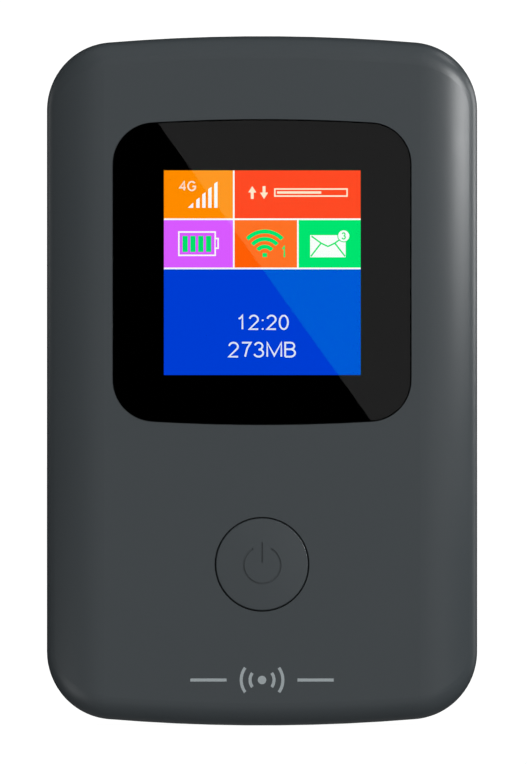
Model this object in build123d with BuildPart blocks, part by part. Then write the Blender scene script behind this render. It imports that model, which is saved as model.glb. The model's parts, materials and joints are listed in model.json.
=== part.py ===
from build123d import *
from math import radians, sqrt, tan
import os

os.makedirs("parts", exist_ok=True)

# A pocket mobile hotspot, standing upright on its bottom edge, in millimetres.
# X runs to the right seen from the front, Y from the front face to the rear face, Z up.
# The origin is on the standing surface, midway between the front and rear faces.

# ---- Driving dimensions ----
WIDTH = 56.0
HEIGHT = 89.6
THICKNESS = 14.0
Y_FRONT = -THICKNESS / 2
Y_REAR = THICKNESS / 2
Z_MID = HEIGHT / 2
BOW_RADIUS = 244.0          # the top and bottom edges bulge gently outwards
CORNER_RADIUS = 8.8         # corners of the outline
FLAT_HALF = 20.5            # the flat middle of the front and rear faces reaches this far out
ROLL_RADIUS = 10.0          # the long sides roll off on this radius
EDGE_RADIUS = 3.0           # the rim of each face is rounded with this radius
WALL = 1.5                  # front casing wall
COVER_WALL = 1.3            # rear cover wall
Y_PARTING = 1.0             # rear edge of the front casing
PARTING_GAP = 0.1
FIT = 0.1                   # general clearance between loose neighbours
CUT = 3.0                   # length of a cut that only has to come out in the open

# Stack of layers, from the front face to the rear
Y_WINDOW_BACK = -6.2
Y_MASK_FRONT = -6.18
Y_MASK_BACK = -6.1
Y_LEDGE = -6.0
Y_LEDGE_BACK = -5.3
Y_GASKET_BACK = -5.0
Y_DISPLAY_BACK = -3.3
Y_BOARD_FRONT = -3.2
Y_BOARD_REAR = -2.4
Y_CAN_REAR = -1.1
Y_FLOOR_FRONT = -0.9
Y_FLOOR_REAR = -0.1
Y_BATTERY_FRONT = 0.1
Y_BATTERY_REAR = 4.8
PRINT_THICK = 0.06          # labels and antenna strips, with the same again of glue below

# Display
WINDOW_WIDTH = 38.7
WINDOW_HEIGHT = 39.6
WINDOW_CORNER = 5.4
WINDOW_BOW = 240.0
WINDOW_Z = 58.9
WINDOW_GAP = 0.05
PICTURE_WIDTH = 25.6
PICTURE_HEIGHT = 26.7
MODULE_WIDTH = 32.0
MODULE_BOTTOM = 38.6
MODULE_TOP = 76.4
MODULE_Z = (MODULE_BOTTOM + MODULE_TOP) / 2
MODULE_HEIGHT = MODULE_TOP - MODULE_BOTTOM

# Power button
BUTTON_Z = 21.0
BUTTON_RADIUS = 6.0
BUTTON_GAP = 0.155
BUTTON_DOME = 120.0         # the key's face is crowned on this radius
FLANGE_RADIUS = 6.8
EAR_WIDTH = 1.6             # two ears keep the key from turning
EAR_REACH = 7.9
SYMBOL_RADIUS = 2.4
SYMBOL_LINE = 0.24
SYMBOL_DEPTH = 0.15
SYMBOL_GAP_HALF = 29        # degrees, half of the opening at the top of the ring

# Battery and its bay
BATTERY_HALF = 22.0
BATTERY_BOTTOM = 10.5
BATTERY_TOP = 70.5
BATTERY_Z = (BATTERY_BOTTOM + BATTERY_TOP) / 2
BAY_CLEARANCE = 0.25
BAY_WALL = 0.8
BAY_WALL_REAR = 4.4

# Battery connector
CONNECTOR_X = -12.0
CONNECTOR_Z = 7.9
CONNECTOR_SIZE = (8.4, 3.2)
CONNECTOR_REAR = 2.6
BLADE_PITCH = 2.5

# Charging port, in the middle of the bottom edge
PORT_WIDTH = 7.5
PORT_THICK = 2.45
PORT_Y = Y_BOARD_REAR + PORT_THICK / 2
PORT_MOUTH = 0.6
PORT_DEPTH = 5.2
PORT_SKIN = 0.25

# Screws and their bosses
SCREW_X = 21.3
SCREW_Z = 7.0
SCREW_SPOTS = [(x, z) for x in (-SCREW_X, SCREW_X) for z in (SCREW_Z, HEIGHT - SCREW_Z)]
BOSS_RADIUS = 2.0
SHANK_RADIUS = 0.7
SHANK_LENGTH = 4.2
PILOT_RADIUS = 0.65
PILOT_DEPTH = 3.6
HEAD_RADIUS = 1.3
HEAD_THICK = 0.6

# Card socket and reset switch, above the battery
SOCKET_LEFT = -17.0
SOCKET_RIGHT = -4.0
SOCKET_BOTTOM = 72.3
SOCKET_TOP = 82.3
CARD_WINDOW_RIGHT = 9.0     # the floor is open this far, so that a card can be slid in
RESET_X = 14.0
RESET_Z = 77.5


def layer(y):
    """The plane across the body at depth y, seen from the front: sketch x is X, sketch y is Z."""
    return Plane.XZ.offset(-y)


def bowed_outline(width, height, middle, bow, corner, inset=0.0):
    """Sketch face: a rounded rectangle whose top and bottom edges bulge, pulled in by inset."""
    half_width = width / 2 - inset
    half_height = height / 2 - inset
    radius = bow - inset
    shoulder = half_height - (radius - sqrt(radius**2 - half_width**2))
    with BuildSketch(mode=Mode.PRIVATE) as outline:
        with BuildLine():
            Line((half_width, middle - shoulder), (half_width, middle + shoulder))
            ThreePointArc((half_width, middle + shoulder), (0, middle + half_height),
                          (-half_width, middle + shoulder))
            Line((-half_width, middle + shoulder), (-half_width, middle - shoulder))
            ThreePointArc((-half_width, middle - shoulder), (0, middle - half_height),
                          (half_width, middle - shoulder))
        make_face()
        fillet(outline.vertices(), radius=corner - inset)
    return outline.sketch


def body_outline(inset=0.0):
    """The body's silhouette, pulled in by inset."""
    return bowed_outline(WIDTH, HEIGHT, Z_MID, BOW_RADIUS, CORNER_RADIUS, inset)


def window_outline(inset=0.0):
    """The display window's outline, pulled in by inset."""
    return bowed_outline(WINDOW_WIDTH, WINDOW_HEIGHT, WINDOW_Z, WINDOW_BOW, WINDOW_CORNER, inset)


def cross_section(inset):
    """The body's level cross section: flat front and rear, long sides rolled off, pulled in by inset."""
    half_width = WIDTH / 2 - inset
    radius = ROLL_RADIUS - inset
    centre_y = Y_REAR - ROLL_RADIUS
    wall_y = centre_y + sqrt(radius**2 - (half_width - FLAT_HALF)**2)
    face_y = Y_REAR - inset
    with BuildSketch(mode=Mode.PRIVATE) as section:
        with BuildLine():
            Line((0, 0), (half_width, 0))
            Line((half_width, 0), (half_width, wall_y))
            RadiusArc((half_width, wall_y), (FLAT_HALF, face_y), -radius)
            Line((FLAT_HALF, face_y), (0, face_y))
            Line((0, face_y), (0, 0))
        make_face()
        mirror(about=Plane.YZ)
        mirror(about=Plane.XZ)
    return section.sketch


RIM_DEPTH = THICKNESS / 4   # the rims of both faces lie deeper than this, the side walls' joins don't
JOIN_REACH = 0.1


def whole_body(inset):
    """A solid the shape of the whole body, with every surface pulled in by inset."""
    with BuildPart(mode=Mode.PRIVATE) as body:
        with BuildSketch(Plane.XY):
            add(cross_section(inset))
        extrude(amount=HEIGHT)
        with BuildSketch(layer(Y_REAR)):
            add(body_outline(inset))
        extrude(amount=THICKNESS, mode=Mode.INTERSECT)
        rims = body.edges().filter_by(lambda edge: abs(edge.center().Y) > RIM_DEPTH)
        upright = rims.filter_by(Axis.Z)
        flat_joins = upright.filter_by(lambda edge: abs(abs(edge.center().X) - FLAT_HALF) < JOIN_REACH)
        fillet(rims - flat_joins, radius=EDGE_RADIUS - inset)
    return body.part


outside = whole_body(0.0)
shell_inside = whole_body(WALL)
cover_inside = whole_body(COVER_WALL)


def save(piece, name):
    """Label a finished piece and write it to its own file."""
    piece.label = name
    export_step(piece, f"parts/{name}.step")


# ---- Front casing ----
PAD_ROOT = 0.5              # depth below the front face at which inner features start
LEDGE_MARGIN = 1.2          # the opening in the ledge is this much larger than the picture
LEDGE_CORNER = 0.8
RIB = 0.8
RIB_REAR = -3.6
RIB_HEIGHT = 2.2
RIB_GAP = (14.0, 4.0)       # passage for the display's flex
RIB_GAP_DROP = 1.0
GUIDE_RADIUS = FLANGE_RADIUS + 0.25
GUIDE_WALL = 1.6
GUIDE_REAR = -4.6
GUIDE_HEIGHT = 1.2
BOSS_ROOT = 1.0
HOLE_OVERRUN = 0.2
PORT_OPENING = (PORT_WIDTH + 0.8, PORT_THICK + 0.7)
PORT_OPENING_CORNER = 1.0
PORT_OPENING_TOP = WALL + 0.3

with BuildPart() as front_shell:
    add(outside)
    add(shell_inside, mode=Mode.SUBTRACT)
    split(bisect_by=Plane.XZ.offset(-Y_PARTING), keep=Keep.TOP)
    # a thicker pad behind the window carries the ledge that the window is taped to
    with BuildSketch(layer(Y_LEDGE_BACK)):
        add(window_outline(-RIB))
    extrude(amount=Y_LEDGE_BACK - (Y_FRONT + PAD_ROOT))
    # locating ribs round the display module
    with BuildSketch(layer(RIB_REAR)):
        with Locations((0, MODULE_Z)):
            Rectangle(MODULE_WIDTH + 2 * (FIT + RIB), MODULE_HEIGHT + 2 * (FIT + RIB))
            Rectangle(MODULE_WIDTH + 2 * FIT, MODULE_HEIGHT + 2 * FIT, mode=Mode.SUBTRACT)
        with Locations((0, MODULE_BOTTOM - RIB_GAP_DROP)):
            Rectangle(*RIB_GAP, mode=Mode.SUBTRACT)
    extrude(amount=RIB_HEIGHT)
    # guide ring of the power button, with two notches for the key's ears
    with BuildSketch(layer(GUIDE_REAR)):
        with Locations((0, BUTTON_Z)):
            Circle(GUIDE_RADIUS + GUIDE_WALL)
            Circle(GUIDE_RADIUS, mode=Mode.SUBTRACT)
            Rectangle(2 * (EAR_REACH + FIT), EAR_WIDTH + 2 * FIT, mode=Mode.SUBTRACT)
    extrude(amount=GUIDE_HEIGHT)
    # screw bosses
    with BuildSketch(layer(Y_FLOOR_FRONT)):
        with Locations(SCREW_SPOTS):
            Circle(BOSS_RADIUS)
    extrude(amount=Y_FLOOR_FRONT - Y_FRONT - BOSS_ROOT)
    with BuildSketch(layer(Y_FLOOR_FRONT)):
        with Locations(SCREW_SPOTS):
            Circle(PILOT_RADIUS)
    extrude(amount=PILOT_DEPTH, mode=Mode.SUBTRACT)
    # window recess, and the opening in its floor
    with BuildSketch(layer(Y_LEDGE)):
        add(window_outline(-WINDOW_GAP))
    extrude(amount=CUT, mode=Mode.SUBTRACT)
    with BuildSketch(layer(Y_LEDGE_BACK)):
        with Locations((0, WINDOW_Z)):
            RectangleRounded(PICTURE_WIDTH + 2 * LEDGE_MARGIN, PICTURE_HEIGHT + 2 * LEDGE_MARGIN,
                             LEDGE_CORNER)
    extrude(amount=CUT, mode=Mode.SUBTRACT)
    # button hole
    with BuildSketch(layer(Y_FRONT + WALL + HOLE_OVERRUN)):
        with Locations((0, BUTTON_Z)):
            Circle(BUTTON_RADIUS + BUTTON_GAP)
    extrude(amount=CUT, mode=Mode.SUBTRACT)
    # port opening through the bottom wall
    with BuildSketch(Plane.XY.offset(PORT_OPENING_TOP)):
        with Locations((0, PORT_Y)):
            RectangleRounded(*PORT_OPENING, PORT_OPENING_CORNER)
    extrude(amount=-CUT, mode=Mode.SUBTRACT)
save(front_shell.part, "front_shell")

# ---- Display window, the black mask printed behind it, and its tape ----
WINDOW_CHAMFER = 0.12
TAPE_INSET = 0.3
TAPE_MARGIN = 1.5
TAPE_CORNER = 1.0

with BuildPart() as display_window:
    with BuildSketch(layer(Y_WINDOW_BACK)):
        add(window_outline())
    extrude(amount=Y_WINDOW_BACK - Y_FRONT)
    chamfer(display_window.faces().sort_by(Axis.Y)[0].edges(), length=WINDOW_CHAMFER)
save(display_window.part, "display_window")

with BuildPart() as display_mask:
    with BuildSketch(layer(Y_MASK_BACK)):
        add(window_outline(WINDOW_GAP))
        with Locations((0, WINDOW_Z)):
            Rectangle(PICTURE_WIDTH, PICTURE_HEIGHT, mode=Mode.SUBTRACT)
    extrude(amount=Y_MASK_BACK - Y_MASK_FRONT)
save(display_mask.part, "display_mask")

with BuildPart() as window_adhesive:
    with BuildSketch(layer(Y_LEDGE)):
        add(window_outline(TAPE_INSET))
        with Locations((0, WINDOW_Z)):
            RectangleRounded(PICTURE_WIDTH + 2 * TAPE_MARGIN, PICTURE_HEIGHT + 2 * TAPE_MARGIN, TAPE_CORNER,
                             mode=Mode.SUBTRACT)
    extrude(amount=Y_LEDGE - Y_MASK_BACK)
save(window_adhesive.part, "window_adhesive")

# ---- Display module ----
GASKET_OUTER = 2.2          # reach of the foam gasket beyond the picture
GASKET_INNER = 1.3
PANEL_THICK = 0.7
FRAME_WALL = 0.7
FRAME_BACK = 0.2
FRAME_CORNER = 0.6
LIGHT_GUIDE_MARGIN = 1.5
LIGHT_GUIDE_THICK = 0.7

with BuildPart() as lcd_gasket:
    with BuildSketch(layer(Y_GASKET_BACK)):
        with Locations((0, WINDOW_Z)):
            Rectangle(PICTURE_WIDTH + 2 * GASKET_OUTER, PICTURE_HEIGHT + 2 * GASKET_OUTER)
            Rectangle(PICTURE_WIDTH + 2 * GASKET_INNER, PICTURE_HEIGHT + 2 * GASKET_INNER, mode=Mode.SUBTRACT)
    extrude(amount=Y_GASKET_BACK - Y_LEDGE_BACK)
save(lcd_gasket.part, "lcd_gasket")

with BuildPart() as lcd_panel:
    with BuildSketch(layer(Y_GASKET_BACK + PANEL_THICK)):
        with Locations((0, MODULE_Z)):
            Rectangle(MODULE_WIDTH - 2 * FRAME_WALL, MODULE_HEIGHT - 2 * FRAME_WALL)
    extrude(amount=PANEL_THICK)
save(lcd_panel.part, "lcd_panel")

# The flex leaves the module through a slot in its bottom side, and plugs into the board
FLEX_Y = -3.95
FLEX_THICK = 0.15
FLEX_ROOT = (12.0, 5.6)
FLEX_ROOT_Z = 38.3
FLEX_TAIL = (8.0, 3.4)
FLEX_TAIL_Z = 34.2
FLEX_SLOT = (FLEX_ROOT[0] + 0.6, 2.0)
FLEX_SLOT_REAR = -3.9
FLEX_SLOT_HEIGHT = 0.35
SOCKET_BODY = (10.0, 3.0)
SOCKET_BODY_Z = 33.0
SOCKET_BODY_THICK = 1.1
SOCKET_SLOT = (FLEX_TAIL[0] + 0.1, 3.0)
SOCKET_SLOT_Z = 33.6

with BuildPart() as lcd_frame:
    with BuildSketch(layer(Y_DISPLAY_BACK)):
        with Locations((0, MODULE_Z)):
            RectangleRounded(MODULE_WIDTH, MODULE_HEIGHT, FRAME_CORNER)
    extrude(amount=Y_DISPLAY_BACK - Y_GASKET_BACK)
    with BuildSketch(layer(Y_DISPLAY_BACK - FRAME_BACK)):
        with Locations((0, MODULE_Z)):
            Rectangle(MODULE_WIDTH - 2 * FRAME_WALL, MODULE_HEIGHT - 2 * FRAME_WALL)
    extrude(amount=CUT, mode=Mode.SUBTRACT)
    with BuildSketch(layer(FLEX_SLOT_REAR)):
        with Locations((0, MODULE_BOTTOM)):
            Rectangle(*FLEX_SLOT)
    extrude(amount=FLEX_SLOT_HEIGHT, mode=Mode.SUBTRACT)
save(lcd_frame.part, "lcd_frame")

with BuildPart() as lcd_light_guide:
    with BuildSketch(layer(Y_DISPLAY_BACK - FRAME_BACK)):
        with Locations((0, WINDOW_Z)):
            Rectangle(MODULE_WIDTH - 2 * (FRAME_WALL + FIT), PICTURE_HEIGHT + 2 * LIGHT_GUIDE_MARGIN)
    extrude(amount=LIGHT_GUIDE_THICK)
save(lcd_light_guide.part, "lcd_light_guide")

with BuildPart() as lcd_flex:
    with BuildSketch(layer(FLEX_Y)):
        with Locations((0, FLEX_ROOT_Z)):
            Rectangle(*FLEX_ROOT)
        with Locations((0, FLEX_TAIL_Z)):
            Rectangle(*FLEX_TAIL)
    extrude(amount=FLEX_THICK)
save(lcd_flex.part, "lcd_flex")

with BuildPart() as lcd_connector:
    with BuildSketch(layer(Y_BOARD_FRONT)):
        with Locations((0, SOCKET_BODY_Z)):
            Rectangle(*SOCKET_BODY)
    extrude(amount=SOCKET_BODY_THICK)
    with BuildSketch(layer(FLEX_Y)):
        with Locations((0, SOCKET_SLOT_Z)):
            Rectangle(*SOCKET_SLOT)
    extrude(amount=FLEX_THICK, mode=Mode.SUBTRACT)
save(lcd_connector.part, "lcd_connector")

# ---- Power button ----
FLANGE_FRONT = Y_FRONT + WALL + 0.08
FLANGE_REAR = FLANGE_FRONT + 0.5
KEY_EDGE_RADIUS = 0.15
KEY_NUB_RADIUS = 1.5
KEY_GAP = 0.03              # between the key's nub and the switch's plunger
PLUNGER_TIP = -4.72
SYMBOL_Z = BUTTON_Z - 0.1
SYMBOL_GAP_HEIGHT = 5.0     # of the wedge that opens the ring
STROKE_Z = BUTTON_Z + 1.55
STROKE_LENGTH = 2.4

with BuildPart() as power_button:
    with BuildSketch(layer(FLANGE_FRONT)):
        with Locations((0, BUTTON_Z)):
            Circle(BUTTON_RADIUS)
    extrude(amount=FLANGE_FRONT - Y_FRONT)
    # crowned face
    with Locations((0, Y_FRONT + BUTTON_DOME, BUTTON_Z)):
        Sphere(BUTTON_DOME, mode=Mode.INTERSECT)
    fillet(power_button.edges().group_by(Axis.Y)[0], radius=KEY_EDGE_RADIUS)
    # retaining flange with two ears, and the nub that reaches the switch
    with BuildSketch(layer(FLANGE_REAR)):
        with Locations((0, BUTTON_Z)):
            Circle(FLANGE_RADIUS)
            Rectangle(2 * EAR_REACH, EAR_WIDTH)
    extrude(amount=FLANGE_REAR - FLANGE_FRONT)
    with BuildSketch(layer(PLUNGER_TIP - KEY_GAP)):
        with Locations((0, BUTTON_Z)):
            Circle(KEY_NUB_RADIUS)
    extrude(amount=PLUNGER_TIP - KEY_GAP - FLANGE_REAR)
    # engraved power symbol: a ring open at the top, and a stroke
    with BuildSketch(layer(Y_FRONT + SYMBOL_DEPTH)):
        with Locations((0, SYMBOL_Z)):
            Circle(SYMBOL_RADIUS + SYMBOL_LINE / 2)
            Circle(SYMBOL_RADIUS - SYMBOL_LINE / 2, mode=Mode.SUBTRACT)
        with BuildLine():
            half_gap = SYMBOL_GAP_HEIGHT * tan(radians(SYMBOL_GAP_HALF))
            gap_top = SYMBOL_Z + SYMBOL_GAP_HEIGHT
            Polyline((0, SYMBOL_Z), (-half_gap, gap_top), (half_gap, gap_top), close=True)
        make_face(mode=Mode.SUBTRACT)
        with Locations((0, STROKE_Z)):
            SlotCenterToCenter(STROKE_LENGTH, SYMBOL_LINE, rotation=90)
    extrude(amount=CUT, mode=Mode.SUBTRACT)
save(power_button.part, "power_button")

SWITCH_SIDE = 5.2
SWITCH_CORNER = 0.4
SWITCH_THICK = 1.15
SWITCH_FLOOR = 0.4
SWITCH_BORE = 1.35
TAB_X = 2.9
TAB_Z = 1.8
TAB_SIZE = (1.0, 0.8)
TAB_THICK = 0.15
PLUNGER_RADIUS = 1.3
PLUNGER_ROOT = Y_BOARD_FRONT - 0.75
PLUNGER_CHAMFER = 0.1

with BuildPart() as power_switch_body:
    with BuildSketch(layer(Y_BOARD_FRONT)):
        with Locations((0, BUTTON_Z)):
            RectangleRounded(SWITCH_SIDE, SWITCH_SIDE, SWITCH_CORNER)
    extrude(amount=SWITCH_THICK)
    # four solder tabs
    with BuildSketch(layer(Y_BOARD_FRONT)):
        with Locations((0, BUTTON_Z)):
            with GridLocations(2 * TAB_X, 2 * TAB_Z, 2, 2):
                Rectangle(*TAB_SIZE)
    extrude(amount=TAB_THICK)
    with BuildSketch(layer(Y_BOARD_FRONT - SWITCH_FLOOR)):
        with Locations((0, BUTTON_Z)):
            Circle(SWITCH_BORE)
    extrude(amount=CUT, mode=Mode.SUBTRACT)
save(power_switch_body.part, "power_switch_body")

with BuildPart() as power_switch_plunger:
    with BuildSketch(layer(PLUNGER_ROOT)):
        with Locations((0, BUTTON_Z)):
            Circle(PLUNGER_RADIUS)
    extrude(amount=PLUNGER_ROOT - PLUNGER_TIP)
    chamfer(power_switch_plunger.edges().group_by(Axis.Y)[0], length=PLUNGER_CHAMFER)
save(power_switch_plunger.part, "power_switch_plunger")

# ---- Circuit board and what is on its rear side ----
BOARD_INSET = 2.1
BOARD_BOSS_GAP = 0.2
CAN_WALL = 0.2
CAN_CORNER = 0.8
DIMPLE_RADIUS = 0.35        # marks pin one of a chip
DIMPLE_DEPTH = 0.1
DIMPLE_INSET = 1.0

with BuildPart() as main_board:
    with BuildSketch(layer(Y_BOARD_REAR)):
        add(body_outline(BOARD_INSET))
        with Locations(SCREW_SPOTS):
            Circle(BOSS_RADIUS + BOARD_BOSS_GAP, mode=Mode.SUBTRACT)
    extrude(amount=Y_BOARD_REAR - Y_BOARD_FRONT)
save(main_board.part, "main_board")


def shield_can(x, z, width, height):
    """A thin metal can, open towards the board."""
    with BuildPart() as can:
        with BuildSketch(layer(Y_CAN_REAR)):
            with Locations((x, z)):
                RectangleRounded(width, height, CAN_CORNER)
        extrude(amount=Y_CAN_REAR - Y_BOARD_REAR)
        with BuildSketch(layer(Y_CAN_REAR - CAN_WALL)):
            with Locations((x, z)):
                RectangleRounded(width - 2 * CAN_WALL, height - 2 * CAN_WALL, CAN_CORNER - CAN_WALL)
        extrude(amount=CUT, mode=Mode.SUBTRACT)
    return can.part


def chip(x, z, width, height, thick):
    """A flat package standing on the board, with a pin-one dimple in a corner."""
    with BuildPart() as package:
        with BuildSketch(layer(Y_BOARD_REAR + thick)):
            with Locations((x, z)):
                Rectangle(width, height)
        extrude(amount=thick)
        with BuildSketch(layer(Y_BOARD_REAR + thick)):
            with Locations((x - width / 2 + DIMPLE_INSET, z + height / 2 - DIMPLE_INSET)):
                Circle(DIMPLE_RADIUS)
        extrude(amount=DIMPLE_DEPTH, mode=Mode.SUBTRACT)
    return package.part


CANS = {"baseband_shield": (-8.5, 52.0, 28.0, 30.0), "radio_shield": (-8.5, 24.5, 28.0, 20.0)}
CHIPS = {"modem_chip": (-12.0, 56.0, 12.0, 12.0, 0.9), "memory_chip": (-1.0, 56.0, 8.0, 10.5, 0.8),
         "power_chip": (-10.0, 43.0, 7.0, 7.0, 0.8), "radio_chip": (-14.0, 26.0, 6.5, 6.5, 0.8),
         "wifi_chip": (14.0, 55.0, 7.0, 7.0, 0.8)}
for name, place_and_size in CANS.items():
    save(shield_can(*place_and_size), name)
for name, place_and_size in CHIPS.items():
    save(chip(*place_and_size), name)

CAPACITOR_SIZE = (1.0, 0.5)
CAPACITOR_THICK = 0.5
CAPACITOR_PITCH = 2.2
CAPACITORS_IN_ROW = 5
CAPACITOR_ROWS = [(10, 44), (13, 44), (19, 57)]
COIL_SIDE = 3.0
COIL_CORNER = 0.4
COIL_THICK = 1.2
COIL_SPOTS = [(12, 30), (12, 34.5)]

with BuildPart() as small_parts:
    with BuildSketch(layer(Y_BOARD_REAR + CAPACITOR_THICK)):
        with GridLocations(0, CAPACITOR_PITCH, 1, CAPACITORS_IN_ROW):
            with Locations(CAPACITOR_ROWS):
                Rectangle(*CAPACITOR_SIZE)
    extrude(amount=CAPACITOR_THICK)
    with BuildSketch(layer(Y_BOARD_REAR + COIL_THICK)):
        with Locations(COIL_SPOTS):
            RectangleRounded(COIL_SIDE, COIL_SIDE, COIL_CORNER)
    extrude(amount=COIL_THICK)
save(small_parts.part, "small_parts")

# ---- Charging port ----
PORT_BEVEL = 0.9
PORT_CORNER = 0.25
PORT_BACK = 0.4
TONGUE_THICK = 0.6
TONGUE_WIDTH = 3.8
TONGUE_LENGTH = 3.6
TONGUE_Y = PORT_Y + 0.15
TONGUE_TOP = PORT_MOUTH + PORT_DEPTH - PORT_BACK
TONGUE_TIP = TONGUE_TOP - TONGUE_LENGTH
CONTACT_SIZE = (0.3, 0.12)
CONTACT_PITCH = 0.65
CONTACT_COUNT = 5
CONTACT_SETBACK = 0.2


def port_profile(width, thick):
    """Sketch face in plan: flat towards the rear, narrower towards the board, as the plug is."""
    half = width / 2
    low = PORT_Y - thick / 2
    high = PORT_Y + thick / 2
    with BuildSketch(mode=Mode.PRIVATE) as profile:
        with BuildLine():
            Polyline((-half + PORT_BEVEL, low), (half - PORT_BEVEL, low), (half, low + PORT_BEVEL),
                     (half, high), (-half, high), (-half, low + PORT_BEVEL), close=True)
        make_face()
        fillet(profile.vertices(), radius=PORT_CORNER)
    return profile.sketch


with BuildPart() as usb_port_shell:
    with BuildSketch(Plane.XY.offset(PORT_MOUTH)):
        add(port_profile(PORT_WIDTH, PORT_THICK))
    extrude(amount=PORT_DEPTH)
    with BuildSketch(Plane.XY.offset(PORT_MOUTH)):
        add(port_profile(PORT_WIDTH - 2 * PORT_SKIN, PORT_THICK - 2 * PORT_SKIN))
    extrude(amount=PORT_DEPTH - PORT_BACK, mode=Mode.SUBTRACT)
save(usb_port_shell.part, "usb_port_shell")

with BuildPart() as usb_port_tongue:
    with BuildSketch(Plane.XY.offset(TONGUE_TIP)):
        with Locations((0, TONGUE_Y)):
            Rectangle(TONGUE_WIDTH, TONGUE_THICK)
    extrude(amount=TONGUE_LENGTH)
save(usb_port_tongue.part, "usb_port_tongue")

with BuildPart() as usb_port_contacts:
    with BuildSketch(Plane.XY.offset(TONGUE_TIP + CONTACT_SETBACK)):
        with Locations((0, TONGUE_Y - TONGUE_THICK / 2 - CONTACT_SIZE[1] / 2)):
            with GridLocations(CONTACT_PITCH, 0, CONTACT_COUNT, 1):
                Rectangle(*CONTACT_SIZE)
    extrude(amount=TONGUE_LENGTH - CONTACT_SETBACK)
save(usb_port_contacts.part, "usb_port_contacts")

# ---- Card socket: a plastic base, a metal cover and six contacts; the card slides in from the right ----
SOCKET_X = (SOCKET_LEFT + SOCKET_RIGHT) / 2
SOCKET_Z = (SOCKET_BOTTOM + SOCKET_TOP) / 2
SOCKET_WIDTH = SOCKET_RIGHT - SOCKET_LEFT
SOCKET_HEIGHT = SOCKET_TOP - SOCKET_BOTTOM
SOCKET_FLOOR = Y_BOARD_REAR + 0.3
SOCKET_REAR = Y_BOARD_REAR + 1.4
SOCKET_SKIN = 0.2
SOCKET_PLAY = 0.25          # between the plastic base and the metal cover, all round
CONTACT_COLUMNS = (SOCKET_X - 3.0, SOCKET_X + 2.0)
CONTACT_STEP = 2.5
CONTACT_SPOTS = [(x, SOCKET_Z + step * CONTACT_STEP) for x in CONTACT_COLUMNS for step in (-1, 0, 1)]
CONTACT_POCKET = (2.0, 1.2)
SPRING_PAD = (1.6, 0.8)
SPRING_PAD_THICK = 0.45
SPRING_PAD_RISE = 0.15
SOCKET_WINDOW = (2.4, 6.6)
SOCKET_WINDOW_CORNER = 0.5
FINGER_CUT_RADIUS = 2.6
FINGER_CUT_DEPTH = 0.5

with BuildPart() as sim_socket_base:
    with BuildSketch(layer(SOCKET_FLOOR)):
        with Locations((SOCKET_X, SOCKET_Z)):
            Rectangle(SOCKET_WIDTH - 2 * SOCKET_PLAY, SOCKET_HEIGHT - 2 * SOCKET_PLAY)
        with Locations(CONTACT_SPOTS):
            Rectangle(*CONTACT_POCKET, mode=Mode.SUBTRACT)
    extrude(amount=SOCKET_FLOOR - Y_BOARD_REAR)
save(sim_socket_base.part, "sim_socket_base")

with BuildPart() as sim_socket_cover:
    with BuildSketch(layer(SOCKET_REAR)):
        with Locations((SOCKET_X, SOCKET_Z)):
            Rectangle(SOCKET_WIDTH, SOCKET_HEIGHT)
    extrude(amount=SOCKET_REAR - Y_BOARD_REAR)
    with BuildSketch(layer(SOCKET_REAR - SOCKET_SKIN)):
        with Locations((SOCKET_X + SOCKET_SKIN, SOCKET_Z)):
            Rectangle(SOCKET_WIDTH, SOCKET_HEIGHT - 2 * SOCKET_SKIN)
    extrude(amount=CUT, mode=Mode.SUBTRACT)
    # openings in the cover's top over the contacts, and the finger cut at its mouth
    with BuildSketch(layer(SOCKET_REAR)):
        with Locations((CONTACT_COLUMNS[0], SOCKET_Z)):
            RectangleRounded(*SOCKET_WINDOW, SOCKET_WINDOW_CORNER)
        with Locations((SOCKET_RIGHT, SOCKET_Z)):
            Circle(FINGER_CUT_RADIUS)
    extrude(amount=FINGER_CUT_DEPTH, mode=Mode.SUBTRACT)
save(sim_socket_cover.part, "sim_socket_cover")

with BuildPart() as sim_contacts:
    with BuildSketch(layer(SOCKET_FLOOR + SPRING_PAD_RISE)):
        with Locations(CONTACT_SPOTS):
            Rectangle(*SPRING_PAD)
    extrude(amount=SPRING_PAD_THICK)
save(sim_contacts.part, "sim_contacts")

# ---- Battery connector: a block with three slots, and a bent blade in each ----
BLADE_SLOT = (0.9, 2.0)
BLADE_SLOT_Z = 9.0
BLADE_SLOT_REAR = 2.0
BLADE_SLOT_DEPTH = 2.4
BLADE_HALF_WIDTH = 0.3
BLADE_ROOT_Z = 8.1
BLADE_BEND_Z = 8.35
BLADE_SHOULDER_Z = BATTERY_BOTTOM - 0.3
BLADE_TIP_Z = BATTERY_BOTTOM - 0.08

with BuildPart() as battery_connector:
    with BuildSketch(layer(CONNECTOR_REAR)):
        with Locations((CONNECTOR_X, CONNECTOR_Z)):
            Rectangle(*CONNECTOR_SIZE)
    extrude(amount=CONNECTOR_REAR - Y_BOARD_REAR)
    with BuildSketch(layer(BLADE_SLOT_REAR)):
        with Locations((CONNECTOR_X, BLADE_SLOT_Z)):
            with GridLocations(BLADE_PITCH, 0, 3, 1):
                Rectangle(*BLADE_SLOT)
    extrude(amount=BLADE_SLOT_DEPTH, mode=Mode.SUBTRACT)
save(battery_connector.part, "battery_connector")

with BuildPart() as battery_contacts:
    with BuildSketch(Plane.YZ.offset(CONNECTOR_X)):
        with BuildLine():
            Polyline((-0.2, BLADE_ROOT_Z), (1.8, BLADE_ROOT_Z), (1.8, BLADE_BEND_Z), (0.6, BLADE_BEND_Z),
                     (1.1, BLADE_SHOULDER_Z), (0.8, BLADE_TIP_Z), (0.5, BLADE_SHOULDER_Z),
                     (-0.2, BLADE_BEND_Z), close=True)
        make_face()
    extrude(amount=BLADE_HALF_WIDTH, both=True)
    add([battery_contacts.part.moved(Location((step * BLADE_PITCH, 0, 0))) for step in (-1, 1)])
save(battery_contacts.part, "battery_contacts")

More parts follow.
